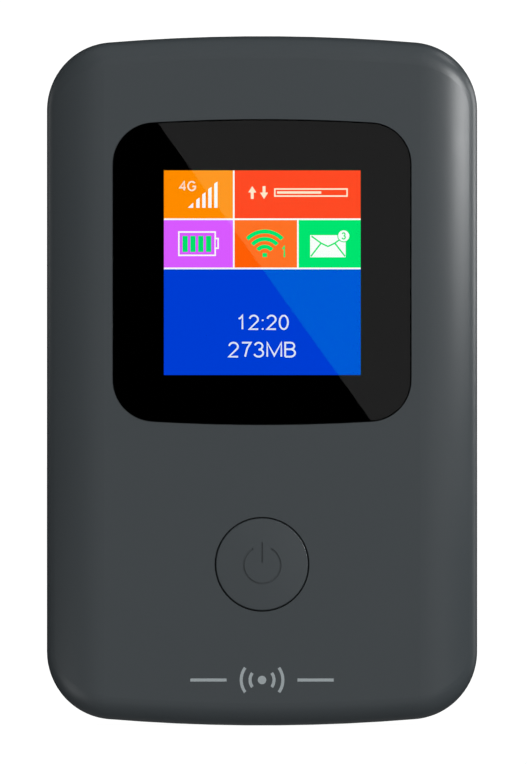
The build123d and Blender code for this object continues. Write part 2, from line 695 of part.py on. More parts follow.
# ---- Reset switch, under a pinhole in the mid frame ----
RESET_BODY = (4.0, 3.0)
RESET_CORNER = 0.3
RESET_THICK = 0.95
RESET_BORE = 0.75
RESET_BORE_DEPTH = 0.65
RESET_PLUNGER_RADIUS = 0.7
RESET_RISE = 0.3            # the plunger stands proud of the switch by this much
PINHOLE_RADIUS = 0.8

with BuildPart() as reset_switch_body:
    with BuildSketch(layer(Y_BOARD_REAR + RESET_THICK)):
        with Locations((RESET_X, RESET_Z)):
            RectangleRounded(*RESET_BODY, RESET_CORNER)
    extrude(amount=RESET_THICK)
    with BuildSketch(layer(Y_BOARD_REAR + RESET_THICK)):
        with Locations((RESET_X, RESET_Z)):
            Circle(RESET_BORE)
    extrude(amount=RESET_BORE_DEPTH, mode=Mode.SUBTRACT)
save(reset_switch_body.part, "reset_switch_body")

with BuildPart() as reset_switch_plunger:
    with BuildSketch(layer(Y_BOARD_REAR + RESET_THICK + RESET_RISE)):
        with Locations((RESET_X, RESET_Z)):
            Circle(RESET_PLUNGER_RADIUS)
    extrude(amount=RESET_BORE_DEPTH)
save(reset_switch_plunger.part, "reset_switch_plunger")

# ---- Mid frame with the battery bay ----
BAY_WIDTH = 2 * (BATTERY_HALF + BAY_CLEARANCE)
BAY_HEIGHT = BATTERY_TOP - BATTERY_BOTTOM + 2 * BAY_CLEARANCE
BAY_CORNER = 0.8
ABOVE_BAY = 6.0             # a depth clear of the bay walls, where cuts into them start
SCOOP = (16.0, 3.0)
SCOOP_SILL = 0.8
CONNECTOR_GAP = (9.0, 3.0)
STIFFENER = (1.9, 0.8)
STIFFENER_X = 24.0
STIFFENER_PITCH = 15.0
STIFFENERS_IN_ROW = 4
STIFFENER_REAR = 1.6
SEAT_RADIUS = HEAD_RADIUS + 0.9
SEAT_REAR = 1.0
HEAD_GAP = 0.15
FLOOR_CUT_START = 0.5
PORT_NOTCH = (PORT_WIDTH + 0.6, 5.2)
PORT_NOTCH_Z = 3.5
CONNECTOR_HOLE = (CONNECTOR_SIZE[0] + 0.4, CONNECTOR_SIZE[1] + 0.5)
CARD_PLAY = 0.2
CARD_WINDOW = (CARD_WINDOW_RIGHT - SOCKET_LEFT + 2 * CARD_PLAY, SOCKET_HEIGHT + 2 * CARD_PLAY)
CARD_WINDOW_X = (SOCKET_LEFT + CARD_WINDOW_RIGHT) / 2 - CARD_PLAY
CARD_WINDOW_CORNER = 0.4

with BuildPart() as mid_frame:
    with BuildSketch(layer(Y_FLOOR_REAR)):
        add(body_outline(WALL + FIT))
    extrude(amount=Y_FLOOR_REAR - Y_FLOOR_FRONT)
    # walls round the battery
    with BuildSketch(layer(BAY_WALL_REAR)):
        with Locations((0, BATTERY_Z)):
            RectangleRounded(BAY_WIDTH + 2 * BAY_WALL, BAY_HEIGHT + 2 * BAY_WALL, BAY_CORNER + BAY_WALL)
            RectangleRounded(BAY_WIDTH, BAY_HEIGHT, BAY_CORNER, mode=Mode.SUBTRACT)
    extrude(amount=BAY_WALL_REAR - Y_FLOOR_REAR)
    # finger scoop in the top wall, and the gap in the bottom wall for the connector
    with BuildSketch(layer(ABOVE_BAY)):
        with Locations((0, BATTERY_TOP + 1)):
            Rectangle(*SCOOP)
    extrude(amount=ABOVE_BAY - Y_FLOOR_REAR - SCOOP_SILL, mode=Mode.SUBTRACT)
    with BuildSketch(layer(ABOVE_BAY)):
        with Locations((CONNECTOR_X, BATTERY_BOTTOM - 1)):
            Rectangle(*CONNECTOR_GAP)
    extrude(amount=ABOVE_BAY - Y_FLOOR_REAR, mode=Mode.SUBTRACT)
    # ribs along both sides that stiffen the frame
    with BuildSketch(layer(STIFFENER_REAR)):
        with Locations((0, BATTERY_Z)):
            with GridLocations(2 * STIFFENER_X, STIFFENER_PITCH, 2, STIFFENERS_IN_ROW):
                Rectangle(*STIFFENER)
    extrude(amount=STIFFENER_REAR - Y_FLOOR_REAR)
    # screw seats
    with BuildSketch(layer(SEAT_REAR)):
        with Locations(SCREW_SPOTS):
            Circle(SEAT_RADIUS)
    extrude(amount=SEAT_REAR - Y_FLOOR_REAR)
    with BuildSketch(layer(SEAT_REAR)):
        with Locations(SCREW_SPOTS):
            Circle(HEAD_RADIUS + HEAD_GAP)
    extrude(amount=SEAT_REAR, mode=Mode.SUBTRACT)
    with BuildSketch(layer(SEAT_REAR)):
        with Locations(SCREW_SPOTS):
            Circle(SHANK_RADIUS + FIT)
    extrude(amount=CUT, mode=Mode.SUBTRACT)
    # openings in the floor: port, battery connector, card socket, reset pinhole
    with BuildSketch(layer(FLOOR_CUT_START)):
        with Locations((0, PORT_NOTCH_Z)):
            Rectangle(*PORT_NOTCH)
        with Locations((CONNECTOR_X, CONNECTOR_Z)):
            Rectangle(*CONNECTOR_HOLE)
        with Locations((CARD_WINDOW_X, SOCKET_Z)):
            RectangleRounded(*CARD_WINDOW, CARD_WINDOW_CORNER)
        with Locations((RESET_X, RESET_Z)):
            Circle(PINHOLE_RADIUS)
    extrude(amount=CUT, mode=Mode.SUBTRACT)
save(mid_frame.part, "mid_frame")

CROSS_LENGTH = 1.5
CROSS_WIDTH = 0.35
CROSS_DEPTH = 0.35

with BuildPart() as housing_screws:
    with BuildSketch(layer(0.0)):
        with Locations(SCREW_SPOTS):
            Circle(SHANK_RADIUS)
    extrude(amount=SHANK_LENGTH)
    with BuildSketch(layer(HEAD_THICK)):
        with Locations(SCREW_SPOTS):
            Circle(HEAD_RADIUS)
    extrude(amount=HEAD_THICK)
    # cross recess in each head
    with BuildSketch(layer(HEAD_THICK)):
        with Locations(SCREW_SPOTS):
            Rectangle(CROSS_LENGTH, CROSS_WIDTH)
            Rectangle(CROSS_WIDTH, CROSS_LENGTH)
    extrude(amount=CROSS_DEPTH, mode=Mode.SUBTRACT)
save(housing_screws.part, "housing_screws")

# ---- Antennas: printed flex strips on the mid frame's rear side, and the springs that feed them ----
STRIP_REAR = Y_FLOOR_REAR + PRINT_THICK
CELLULAR_STRIPS = [((-2.0, 84.6), (32.0, 2.4)), ((-16.0, 83.4), (4.0, 1.4)), ((4.0, 83.2), (8.0, 1.0))]
DIVERSITY_STRIPS = [((12.0, 5.6), (12.0, 3.4))]
WIFI_STRIPS = [((20.0, 76.0), (5.0, 7.0))]
SPRING_SPOTS = [(-16.0, 84.6), (13.0, 84.6), (14.0, 5.6), (20.0, 76.0)]
SPRING_SIZE = (1.4, 2.2)
SPRING_THICK = 0.15
SPRING_BACK = 0.2
SPRING_BACK_DROP = 1.0


def antenna(strips):
    """Joined rectangles of thin flex; each strip is its middle and its size."""
    with BuildPart() as flex:
        with BuildSketch(layer(STRIP_REAR)):
            for middle, size in strips:
                with Locations(middle):
                    Rectangle(*size)
        extrude(amount=PRINT_THICK)
    return flex.part


save(antenna(CELLULAR_STRIPS), "cellular_antenna")
save(antenna(DIVERSITY_STRIPS), "diversity_antenna")
save(antenna(WIFI_STRIPS), "wifi_antenna")

with BuildPart() as antenna_springs:
    for leaf_rear in (Y_FLOOR_FRONT, Y_BOARD_REAR + SPRING_THICK):
        with BuildSketch(layer(leaf_rear)):
            with Locations(SPRING_SPOTS):
                Rectangle(*SPRING_SIZE)
        extrude(amount=SPRING_THICK)
    # the back of each spring joins its two leaves
    with BuildSketch(layer(Y_FLOOR_FRONT - SPRING_THICK / 2)):
        with Locations([(x, z - SPRING_BACK_DROP) for x, z in SPRING_SPOTS]):
            Rectangle(SPRING_SIZE[0], SPRING_BACK)
    extrude(amount=Y_FLOOR_FRONT - Y_BOARD_REAR - SPRING_THICK)
save(antenna_springs.part, "antenna_springs")

# ---- Battery ----
END_CAP = 3.0
END_CAP_EDGE = 0.4
END_CAP_CORNER = 1.2
PACK_CORNER = 1.6
PACK_EDGE = 0.6
PACK_INSET = 0.1
BATTERY_Y = (Y_BATTERY_FRONT + Y_BATTERY_REAR) / 2
BATTERY_THICK = Y_BATTERY_REAR - Y_BATTERY_FRONT
PAD_Y = 1.0
PAD_SPOTS = [(CONNECTOR_X + step * BLADE_PITCH, PAD_Y) for step in (-1, 0, 1)]
PAD_SIZE = (1.8, 2.0)
PAD_THICK = 0.3
PAD_RECESS = 0.05
LABEL_CORNER = 1.0
BATTERY_LABEL = (2 * BATTERY_HALF - 5.0, 46.0)
BATTERY_LABEL_THICK = 0.05
BAY_LABEL = (34.0, 30.0)
BAY_LABEL_Z = 40.0

with BuildPart() as battery_pack:
    with BuildSketch(Plane.XY.offset(BATTERY_BOTTOM + END_CAP)):
        with Locations((0, BATTERY_Y)):
            RectangleRounded(2 * (BATTERY_HALF - PACK_INSET), BATTERY_THICK - PACK_INSET, PACK_CORNER)
    extrude(amount=BATTERY_TOP - BATTERY_BOTTOM - END_CAP)
    fillet(battery_pack.faces().sort_by(Axis.Z)[-1].edges(), radius=PACK_EDGE)
save(battery_pack.part, "battery_pack")

with BuildPart() as battery_end_cap:
    with BuildSketch(Plane.XY.offset(BATTERY_BOTTOM)):
        with Locations((0, BATTERY_Y)):
            RectangleRounded(2 * BATTERY_HALF, BATTERY_THICK, END_CAP_CORNER)
    extrude(amount=END_CAP)
    fillet(battery_end_cap.faces().sort_by(Axis.Z)[0].edges(), radius=END_CAP_EDGE)
    with BuildSketch(Plane.XY.offset(BATTERY_BOTTOM)):
        with Locations(PAD_SPOTS):
            Rectangle(*PAD_SIZE)
    extrude(amount=PAD_THICK + PAD_RECESS, mode=Mode.SUBTRACT)
save(battery_end_cap.part, "battery_end_cap")

with BuildPart() as battery_pads:
    with BuildSketch(Plane.XY.offset(BATTERY_BOTTOM + PAD_RECESS)):
        with Locations(PAD_SPOTS):
            Rectangle(*PAD_SIZE)
    extrude(amount=PAD_THICK)
save(battery_pads.part, "battery_pads")

with BuildPart() as battery_label:
    with BuildSketch(layer(Y_BATTERY_REAR)):
        with Locations((0, BATTERY_Z + END_CAP / 2)):
            RectangleRounded(*BATTERY_LABEL, LABEL_CORNER)
    extrude(amount=BATTERY_LABEL_THICK)
save(battery_label.part, "battery_label")

with BuildPart() as bay_label:
    with BuildSketch(layer(STRIP_REAR)):
        with Locations((0, BAY_LABEL_Z)):
            RectangleRounded(*BAY_LABEL, LABEL_CORNER)
    extrude(amount=PRINT_THICK)
save(bay_label.part, "bay_label")

# ---- Rear cover ----
LIP_OUT = WALL + FIT
LIP_IN = LIP_OUT + 0.8
LIP_FRONT = 0.05
LIP_ROOT = 2.3
COVER_EDGE = Y_PARTING + PARTING_GAP
SEAM_GROOVE = 0.4           # depth of the groove that shows along the parting line
SEAM_CLEAR = 0.03           # clearance behind that groove
LIP_GAP = (PORT_WIDTH + 3.0, 4.0)   # the lip stops short of the charging port
LIP_GAP_Z = 2.0
NOTCH = (1.6, 9.0)
NOTCH_CORNER = 0.7
NOTCH_Z = 24.0
NOTCH_DEPTH = 0.9
COVER_PAD = (30.0, 24.0)
COVER_PAD_Z = BATTERY_Z + 6.0
COVER_PAD_CORNER = 1.0
COVER_PAD_THICK = 0.6

with BuildPart() as rear_cover:
    add(outside)
    add(cover_inside, mode=Mode.SUBTRACT)
    split(bisect_by=Plane.XZ.offset(-COVER_EDGE), keep=Keep.BOTTOM)
    # narrow step in the edge, which closes the parting gap behind a shallow groove
    with BuildSketch(layer(COVER_EDGE)):
        add(body_outline(SEAM_GROOVE))
        add(body_outline(COVER_WALL), mode=Mode.SUBTRACT)
    extrude(amount=PARTING_GAP - SEAM_CLEAR)
    # inner rim, and the lip that slides inside the front casing's wall
    with BuildSketch(layer(LIP_ROOT)):
        add(body_outline(COVER_WALL - FIT))
        add(body_outline(LIP_IN), mode=Mode.SUBTRACT)
    extrude(amount=LIP_ROOT - COVER_EDGE)
    with BuildSketch(layer(LIP_ROOT)):
        add(body_outline(LIP_OUT))
        add(body_outline(LIP_IN), mode=Mode.SUBTRACT)
    extrude(amount=LIP_ROOT - LIP_FRONT)
    with BuildSketch(layer(COVER_EDGE)):
        with Locations((0, LIP_GAP_Z)):
            Rectangle(*LIP_GAP)
    extrude(amount=CUT, mode=Mode.SUBTRACT)
    # fingernail notch in the right side of the parting edge
    with BuildSketch(Plane.YZ.offset(WIDTH / 2 - NOTCH_DEPTH)):
        with Locations((COVER_EDGE, NOTCH_Z)):
            RectangleRounded(*NOTCH, NOTCH_CORNER)
    extrude(amount=CUT, mode=Mode.SUBTRACT)
save(rear_cover.part, "rear_cover")

with BuildPart() as cover_pad:
    with BuildSketch(layer(Y_REAR - COVER_WALL)):
        with Locations((0, COVER_PAD_Z)):
            RectangleRounded(*COVER_PAD, COVER_PAD_CORNER)
    extrude(amount=COVER_PAD_THICK)
save(cover_pad.part, "cover_pad")
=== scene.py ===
import json
from math import atan2, cos, pi, radians, sin

import bpy
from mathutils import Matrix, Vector


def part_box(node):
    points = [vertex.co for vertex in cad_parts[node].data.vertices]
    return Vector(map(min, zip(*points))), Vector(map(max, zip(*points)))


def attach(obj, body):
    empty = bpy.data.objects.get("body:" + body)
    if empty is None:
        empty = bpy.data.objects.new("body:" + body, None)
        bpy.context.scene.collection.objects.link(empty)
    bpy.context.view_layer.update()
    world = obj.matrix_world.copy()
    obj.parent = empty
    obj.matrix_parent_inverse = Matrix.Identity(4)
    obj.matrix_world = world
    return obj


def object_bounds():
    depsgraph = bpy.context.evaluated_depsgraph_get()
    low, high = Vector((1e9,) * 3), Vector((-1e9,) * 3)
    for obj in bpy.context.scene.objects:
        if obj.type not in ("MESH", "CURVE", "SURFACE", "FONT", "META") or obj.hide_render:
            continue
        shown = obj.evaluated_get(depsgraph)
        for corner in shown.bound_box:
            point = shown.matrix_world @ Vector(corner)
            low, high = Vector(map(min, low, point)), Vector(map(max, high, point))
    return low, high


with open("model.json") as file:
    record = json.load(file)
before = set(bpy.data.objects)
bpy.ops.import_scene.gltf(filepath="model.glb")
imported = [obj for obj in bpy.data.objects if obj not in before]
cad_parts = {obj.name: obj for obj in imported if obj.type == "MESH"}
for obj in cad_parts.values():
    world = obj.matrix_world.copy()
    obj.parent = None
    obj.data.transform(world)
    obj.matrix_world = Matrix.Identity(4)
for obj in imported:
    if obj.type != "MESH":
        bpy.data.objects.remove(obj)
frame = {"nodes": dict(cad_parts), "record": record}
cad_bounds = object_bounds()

MM = 0.001
nodes = frame["nodes"]
low, high = (Vector(corner) for corner in cad_bounds)
centre = (low + high) / 2

# ---------------------------------------------------------------------------
# Materials. Texture coordinates are the object's own, in metres.


def srgb(red, green, blue):
    """A colour given as 0-255 screen values, as the linear colour that shaders take."""
    def linear(value):
        value /= 255
        return value / 12.92 if value <= 0.04045 else ((value + 0.055) / 1.055) ** 2.4
    return (linear(red), linear(green), linear(blue), 1.0)


def new_material(name):
    """An empty node material with a Principled shader; returns material, node tree and shader."""
    made = bpy.data.materials.new(name)
    made.use_nodes = True
    tree = made.node_tree
    return made, tree, tree.nodes["Principled BSDF"]


def noise(tree, size, detail=3.0, stretch=(1, 1, 1)):
    """A noise texture whose features are about size metres across."""
    coordinates = tree.nodes.new("ShaderNodeTexCoord")
    mapping = tree.nodes.new("ShaderNodeMapping")
    mapping.inputs["Scale"].default_value = stretch
    texture = tree.nodes.new("ShaderNodeTexNoise")
    texture.inputs["Scale"].default_value = 1 / size
    texture.inputs["Detail"].default_value = detail
    tree.links.new(coordinates.outputs["Object"], mapping.inputs["Vector"])
    tree.links.new(mapping.outputs["Vector"], texture.inputs["Vector"])
    return texture.outputs["Fac"]


def spread(tree, factor, low_value, high_value):
    """Maps a 0-1 factor to a range."""
    scale = tree.nodes.new("ShaderNodeMapRange")
    scale.inputs["To Min"].default_value = low_value
    scale.inputs["To Max"].default_value = high_value
    tree.links.new(factor, scale.inputs["Value"])
    return scale.outputs["Result"]


def blend_colours(tree, factor, first, second):
    """Mixes two fixed colours by a factor."""
    mix = tree.nodes.new("ShaderNodeMix")
    mix.data_type = "RGBA"
    mix.inputs["A"].default_value = first
    mix.inputs["B"].default_value = second
    tree.links.new(factor, mix.inputs["Factor"])
    return mix.outputs["Result"]


def add_bump(tree, shader, factor, height):
    """Bumps a shader's surface by a factor, height metres tall."""
    bump = tree.nodes.new("ShaderNodeBump")
    bump.inputs["Strength"].default_value = 1.0
    bump.inputs["Distance"].default_value = height
    tree.links.new(factor, bump.inputs["Height"])
    tree.links.new(bump.outputs["Normal"], shader.inputs["Normal"])


def shade(colour, factor):
    """A colour made lighter or darker by a factor."""
    return (colour[0] * factor, colour[1] * factor, colour[2] * factor, 1.0)


BROAD_PATCH = 9 * MM             # size of the slow changes in a surface's gloss
GLOSS_RANGE = 0.05               # how far they take its roughness either way


def surface(name, colour, roughness, metallic=0.0, grain=0.2 * MM, bump=0.004 * MM, contrast=0.08,
            stretch=(1, 1, 1), specular=0.5):
    """A moulded, stamped or printed surface: fine grain in its colour, roughness and relief."""
    made, tree, shader = new_material(name)
    fine = noise(tree, grain, 4.0, stretch)
    broad = noise(tree, BROAD_PATCH, 2.0)
    tree.links.new(blend_colours(tree, fine, shade(colour, 1 - contrast), shade(colour, 1 + contrast)),
                   shader.inputs["Base Color"])
    tree.links.new(spread(tree, broad, roughness - GLOSS_RANGE, roughness + GLOSS_RANGE),
                   shader.inputs["Roughness"])
    shader.inputs["Metallic"].default_value = metallic
    shader.inputs["Specular IOR Level"].default_value = specular
    add_bump(tree, shader, fine, bump)
    return made


HAZE_PATCH = 6 * MM              # the same for clear parts
HAZE_RANGE = 0.01


def clear(name, roughness=0.0):
    """Clear plastic or glass."""
    made, tree, shader = new_material(name)
    shader.inputs["Base Color"].default_value = (0.98, 0.98, 0.98, 1.0)
    shader.inputs["Transmission Weight"].default_value = 1.0
    shader.inputs["IOR"].default_value = 1.49
    haze = spread(tree, noise(tree, HAZE_PATCH), roughness, roughness + HAZE_RANGE)
    tree.links.new(haze, shader.inputs["Roughness"])
    return made


PIXEL = 0.2 * MM                 # pitch of the display's picture elements
PIXEL_GAIN = 1.12                # how much brighter they are than the grid between them


def lit(name, colour):
    """A lit area of the display: an even glow with the faint grid of its picture elements."""
    made, tree, shader = new_material(name)
    coordinates = tree.nodes.new("ShaderNodeTexCoord")
    split = tree.nodes.new("ShaderNodeSeparateXYZ")
    tree.links.new(coordinates.outputs["Object"], split.inputs["Vector"])
    bars = []
    for axis in ("X", "Z"):
        wave = tree.nodes.new("ShaderNodeMath")
        wave.operation = "PINGPONG"
        wave.inputs[1].default_value = PIXEL / 2
        tree.links.new(split.outputs[axis], wave.inputs[0])
        bars.append(spread(tree, wave.outputs["Value"], 0.0, 1.0))
        bars[-1].node.inputs["From Max"].default_value = PIXEL / 8
    least = tree.nodes.new("ShaderNodeMath")
    least.operation = "MINIMUM"
    tree.links.new(bars[0], least.inputs[0])
    tree.links.new(bars[1], least.inputs[1])
    glow = blend_colours(tree, least.outputs["Value"], colour, shade(colour, PIXEL_GAIN))
    tree.links.new(glow, shader.inputs["Emission Color"])
    shader.inputs["Emission Strength"].default_value = 1.0
    shader.inputs["Base Color"].default_value = (0.0, 0.0, 0.0, 1.0)
    shader.inputs["Specular IOR Level"].default_value = 0.0
    return made


SHELL = (0.0218, 0.0268, 0.0298, 1.0)
casing = surface("casing_plastic", SHELL, 0.4, grain=0.16 * MM, bump=0.0035 * MM, contrast=0.10)
cover_plastic = surface("cover_plastic", shade(SHELL, 0.96), 0.43, grain=0.18 * MM, bump=0.005 * MM,
                        contrast=0.12)
key_plastic = surface("key_plastic", shade(SHELL, 0.98), 0.36, grain=0.12 * MM, bump=0.002 * MM,
                      contrast=0.06)
frame_plastic = surface("frame_plastic", (0.016, 0.017, 0.019, 1), 0.5, grain=0.3 * MM, bump=0.01 * MM)
black_plastic = surface("black_plastic", (0.01, 0.01, 0.011, 1), 0.4)
white_plastic = surface("white_plastic", (0.75, 0.75, 0.73, 1), 0.45)
mask_print = surface("mask_print", (0.0012, 0.0012, 0.0012, 1), 0.6, bump=0.0, contrast=0.02,
                     specular=0.0)
tape = surface("tape", (0.012, 0.012, 0.012, 1), 0.8)
foam = surface("foam", (0.02, 0.02, 0.022, 1), 0.95, grain=0.35 * MM, bump=0.08 * MM, contrast=0.3)
steel = surface("steel", (0.56, 0.56, 0.57, 1), 0.3, 1.0, grain=0.5 * MM, bump=0.002 * MM,
                stretch=(0.15, 1, 1))
tin = surface("tin", (0.66, 0.66, 0.64, 1), 0.38, 1.0, grain=0.8 * MM, bump=0.003 * MM)
gold = surface("gold", (0.85, 0.6, 0.25, 1), 0.25, 1.0, grain=0.3 * MM, bump=0.001 * MM)
copper = surface("copper", (0.72, 0.35, 0.16, 1), 0.32, 1.0, grain=0.3 * MM, bump=0.001 * MM)
polyimide = surface("polyimide", (0.22, 0.09, 0.02, 1), 0.35, grain=0.6 * MM)
epoxy = surface("epoxy", (0.012, 0.012, 0.013, 1), 0.55, grain=0.1 * MM, bump=0.006 * MM)
ceramic = surface("ceramic", (0.3, 0.22, 0.15, 1), 0.5)
paper = surface("paper", (0.72, 0.72, 0.7, 1), 0.7, grain=0.4 * MM, bump=0.004 * MM, contrast=0.04)
battery_wrap = surface("battery_wrap", (0.02, 0.021, 0.023, 1), 0.38, grain=0.5 * MM, bump=0.006 * MM)
ink = surface("ink", (0.145, 0.165, 0.172, 1), 0.5, grain=0.12 * MM, bump=0.003 * MM, contrast=0.1)
window_clear = clear("window_clear")
guide_clear = clear("guide_clear", roughness=0.2)
panel_dark = surface("panel_dark", (0.004, 0.004, 0.005, 1), 0.25, bump=0.0)


TRACK_PITCH = 1.6 * MM


def board_material():
    """Green solder mask with darker bare patches and fine buried tracks."""
    made, tree, shader = new_material("board_mask")
    tracks = tree.nodes.new("ShaderNodeTexVoronoi")
    tracks.distance = "MANHATTAN"
    tracks.inputs["Scale"].default_value = 1 / TRACK_PITCH
    coordinates = tree.nodes.new("ShaderNodeTexCoord")
    tree.links.new(coordinates.outputs["Object"], tracks.inputs["Vector"])
    steps = spread(tree, tracks.outputs["Distance"], 0.0, 1.0)
    tree.links.new(blend_colours(tree, steps, (0.004, 0.045, 0.02, 1), (0.008, 0.085, 0.035, 1)),
                   shader.inputs["Base Color"])
    tree.links.new(spread(tree, noise(tree, 3 * MM), 0.25, 0.4), shader.inputs["Roughness"])
    add_bump(tree, shader, steps, 0.01 * MM)
    return made


FINISHES = {
    "shell": casing, "cover": cover_plastic, "key": key_plastic, "window": window_clear, "mask": mask_print,
    "tape": tape, "foam": foam, "display": panel_dark, "white_plastic": white_plastic,
    "clear_plastic": guide_clear, "flex": polyimide, "black_plastic": black_plastic, "steel": steel,
    "tin": tin, "board": board_material(), "chip": epoxy, "ceramic": ceramic, "gold": gold,
    "frame": frame_plastic, "battery": battery_wrap, "label": paper,
}
for part in frame["record"]["subparts"]:
    node = nodes[part["node"]]
    node.data.materials.clear()
    node.data.materials.append(FINISHES[part["material_slot"]])

# ---------------------------------------------------------------------------
# Flat drawings: outlines in the XZ plane, gathered into one thin mesh


class Drawing:
    """Flat shapes at given depths, seen from the front, each with its own material."""

    def __init__(self, name):
        self.name = name
        self.points = []
        self.faces = []
        self.slots = []
        self.materials = []

    def slot_of(self, finish):
        """The mesh's slot for a material, added when it is new."""
        if finish not in self.materials:
            self.materials.append(finish)
        return self.materials.index(finish)

    def polygon(self, outline, depth, finish):
        """One flat face."""
        start = len(self.points)
        self.points += [(x, depth, z) for x, z in outline]
        self.faces.append(list(range(start, len(self.points))))
        self.slots.append(self.slot_of(finish))

    def band(self, outer, inner, depth, finish):
        """The strip between two outlines of equal length."""
        for i in range(len(outer) - 1):
            self.polygon([outer[i], outer[i + 1], inner[i + 1], inner[i]], depth, finish)

    def stroke(self, route, width, depth, finish):
        """A line of even width along a route of points, with mitred corners."""
        route = [Vector(point) for point in route]
        sides = []
        for i, here in enumerate(route):
            before = (here - route[max(i - 1, 0)]).normalized()
            after = (route[min(i + 1, len(route) - 1)] - here).normalized()
            along = (before + after).normalized()
            across = Vector((-along.y, along.x))
            reach = width / 2 / max(0.5, across.dot(Vector((-after.y, after.x)) if after.length else
                                                    Vector((-before.y, before.x))))
            sides.append((here + across * reach, here - across * reach))
        self.band([tuple(left) for left, right in sides], [tuple(right) for left, right in sides],
                  depth, finish)

    def figures(self, words, middle, height, width, weight, depth, finish):
        """Numbers and unit letters drawn with even strokes, fitted to a height and width."""
        total = sum(FIGURES[c][0] for c in words) + FIGURE_GAP * (len(words) - 1)
        scale_x = (width - weight) / total
        scale_y = height - weight
        x = middle[0] - (width - weight) / 2
        z = middle[1] - scale_y / 2
        for c in words:
            for route in FIGURES[c][1]:
                self.stroke([(x + u * scale_x, z + v * scale_y) for u, v in route], weight, depth, finish)
            x += (FIGURES[c][0] + FIGURE_GAP) * scale_x

    def build(self, body):
        """Makes the object and lets it ride on a body."""
        mesh = bpy.data.meshes.new(self.name)
        mesh.from_pydata(self.points, [], self.faces)
        for finish in self.materials:
            mesh.materials.append(finish)
        for face, slot in zip(mesh.polygons, self.slots):
            face.material_index = slot
        mesh.validate()
        made = bpy.data.objects.new(self.name, mesh)
        bpy.context.scene.collection.objects.link(made)
        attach(made, body)
        return made


def arc_points(middle, radius, start, end, steps=24):
    """Points on an arc; angles in degrees, anticlockwise from the right."""
    angles = [radians(start + (end - start) * i / steps) for i in range(steps + 1)]
    return [(middle[0] + radius * cos(a), middle[1] + radius * sin(a)) for a in angles]


def ring(drawing, middle, outer, inner, start, end, depth, finish):
    """A stroke along an arc."""
    drawing.band(arc_points(middle, outer, start, end), arc_points(middle, inner, start, end), depth, finish)


def oval(middle, reach_x, reach_z, start, end, steps=14):
    """Points on an upright ellipse; angles in degrees, anticlockwise from the right."""
    angles = [radians(start + (end - start) * i / steps) for i in range(steps + 1)]
    return [(middle[0] + reach_x * cos(a), middle[1] + reach_z * sin(a)) for a in angles]


# Each figure: its width, and the routes of its strokes, for a height of 1
FIGURE_GAP = 0.22
FIGURES = {
    "0": (0.5, [oval((0.25, 0.5), 0.25, 0.5, 90, 450, 24)]),
    "1": (0.5, [[(0.08, 0.76), (0.2, 0.84), (0.3, 1.0), (0.3, 0.0)]]),
    "2": (0.52, [oval((0.26, 0.72), 0.25, 0.28, 170, -30, 12) + [(0.0, 0.0), (0.52, 0.0)]]),
    "3": (0.5, [oval((0.23, 0.75), 0.22, 0.25, 165, -90, 12), oval((0.23, 0.26), 0.26, 0.26, 90, -165, 14)]),
    "4": (0.54, [[(0.4, 0.0), (0.4, 1.0), (0.0, 0.3), (0.54, 0.3)]]),
    "7": (0.5, [[(0.0, 1.0), (0.5, 1.0), (0.3, 0.6), (0.18, 0.0)]]),
    "G": (0.68, [oval((0.35, 0.5), 0.35, 0.5, 40, 335, 20) + [(0.67, 0.46), (0.4, 0.46)]]),
    "M": (0.8, [[(0.0, 0.0), (0.0, 1.0), (0.4, 0.08), (0.8, 1.0), (0.8, 0.0)]]),
    "B": (0.56, [[(0.0, 0.53), (0.3, 0.53)] + oval((0.3, 0.765), 0.22, 0.235, -90, 90, 10)
                 + [(0.0, 1.0), (0.0, 0.0)],
                 [(0.0, 0.53), (0.3, 0.53)] + oval((0.3, 0.265), 0.26, 0.265, 90, -90, 10) + [(0.0, 0.0)]]),
    ":": (0.1, [[(0.05, -0.04), (0.05, 0.07)], [(0.05, 0.6), (0.05, 0.71)]]),
}

# ---------------------------------------------------------------------------
# The picture on the display

mask_low, mask_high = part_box("display_mask")
panel_low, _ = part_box("lcd_panel")
OPENING_WIDTH = 25.6 * MM        # of the mask; the picture leaves a hairline of it dark
OPENING_HEIGHT = 26.7 * MM
HAIRLINE_LEFT = 0.06 * MM
HAIRLINE_TOP = 0.13 * MM
PICTURE_WIDTH = OPENING_WIDTH - HAIRLINE_LEFT
PICTURE_HEIGHT = OPENING_HEIGHT - HAIRLINE_TOP
picture_left = (mask_low.x + mask_high.x - OPENING_WIDTH) / 2 + HAIRLINE_LEFT
picture_top = (mask_low.z + mask_high.z + OPENING_HEIGHT) / 2 - HAIRLINE_TOP
LAYER = 0.008 * MM               # each shape lies this far in front of the one below it
picture_depth = panel_low.y - LAYER

ORANGE = lit("pixels_orange", srgb(255, 140, 0))
RED = lit("pixels_red", srgb(255, 30, 0))
VIOLET = lit("pixels_violet", srgb(217, 90, 255))
AMBER = lit("pixels_amber", srgb(255, 94, 5))
GREEN = lit("pixels_green", srgb(0, 221, 105))
BLUE = lit("pixels_blue", srgb(0, 61, 211))
WHITE = lit("pixels_white", srgb(250, 250, 250))
PALE = lit("pixels_pale", srgb(222, 230, 245))
PEACH = lit("pixels_peach", srgb(255, 225, 200))

picture = Drawing("display_picture")


def at(u, v):
    """A place on the picture: u from its left edge, v from its top edge, both 0 to 1."""
    return (picture_left + u * PICTURE_WIDTH, picture_top - v * PICTURE_HEIGHT)


def tile(left, top, right, bottom, finish, level=0):
    """A rectangle on the picture; a higher level lies nearer the viewer."""
    picture.polygon([at(left, bottom), at(right, bottom), at(right, top), at(left, top)],
                    picture_depth - level * LAYER, finish)


def shape(points, finish):
    """A free outline on the picture."""
    picture.polygon([at(u, v) for u, v in points], picture_depth - 2 * LAYER, finish)


COLUMN_1 = 0.355
COLUMN_2 = 0.681
ROW_1 = 0.2385
ROW_2 = 0.479
RULE = 0.0042           # half the width of the white rules between tiles

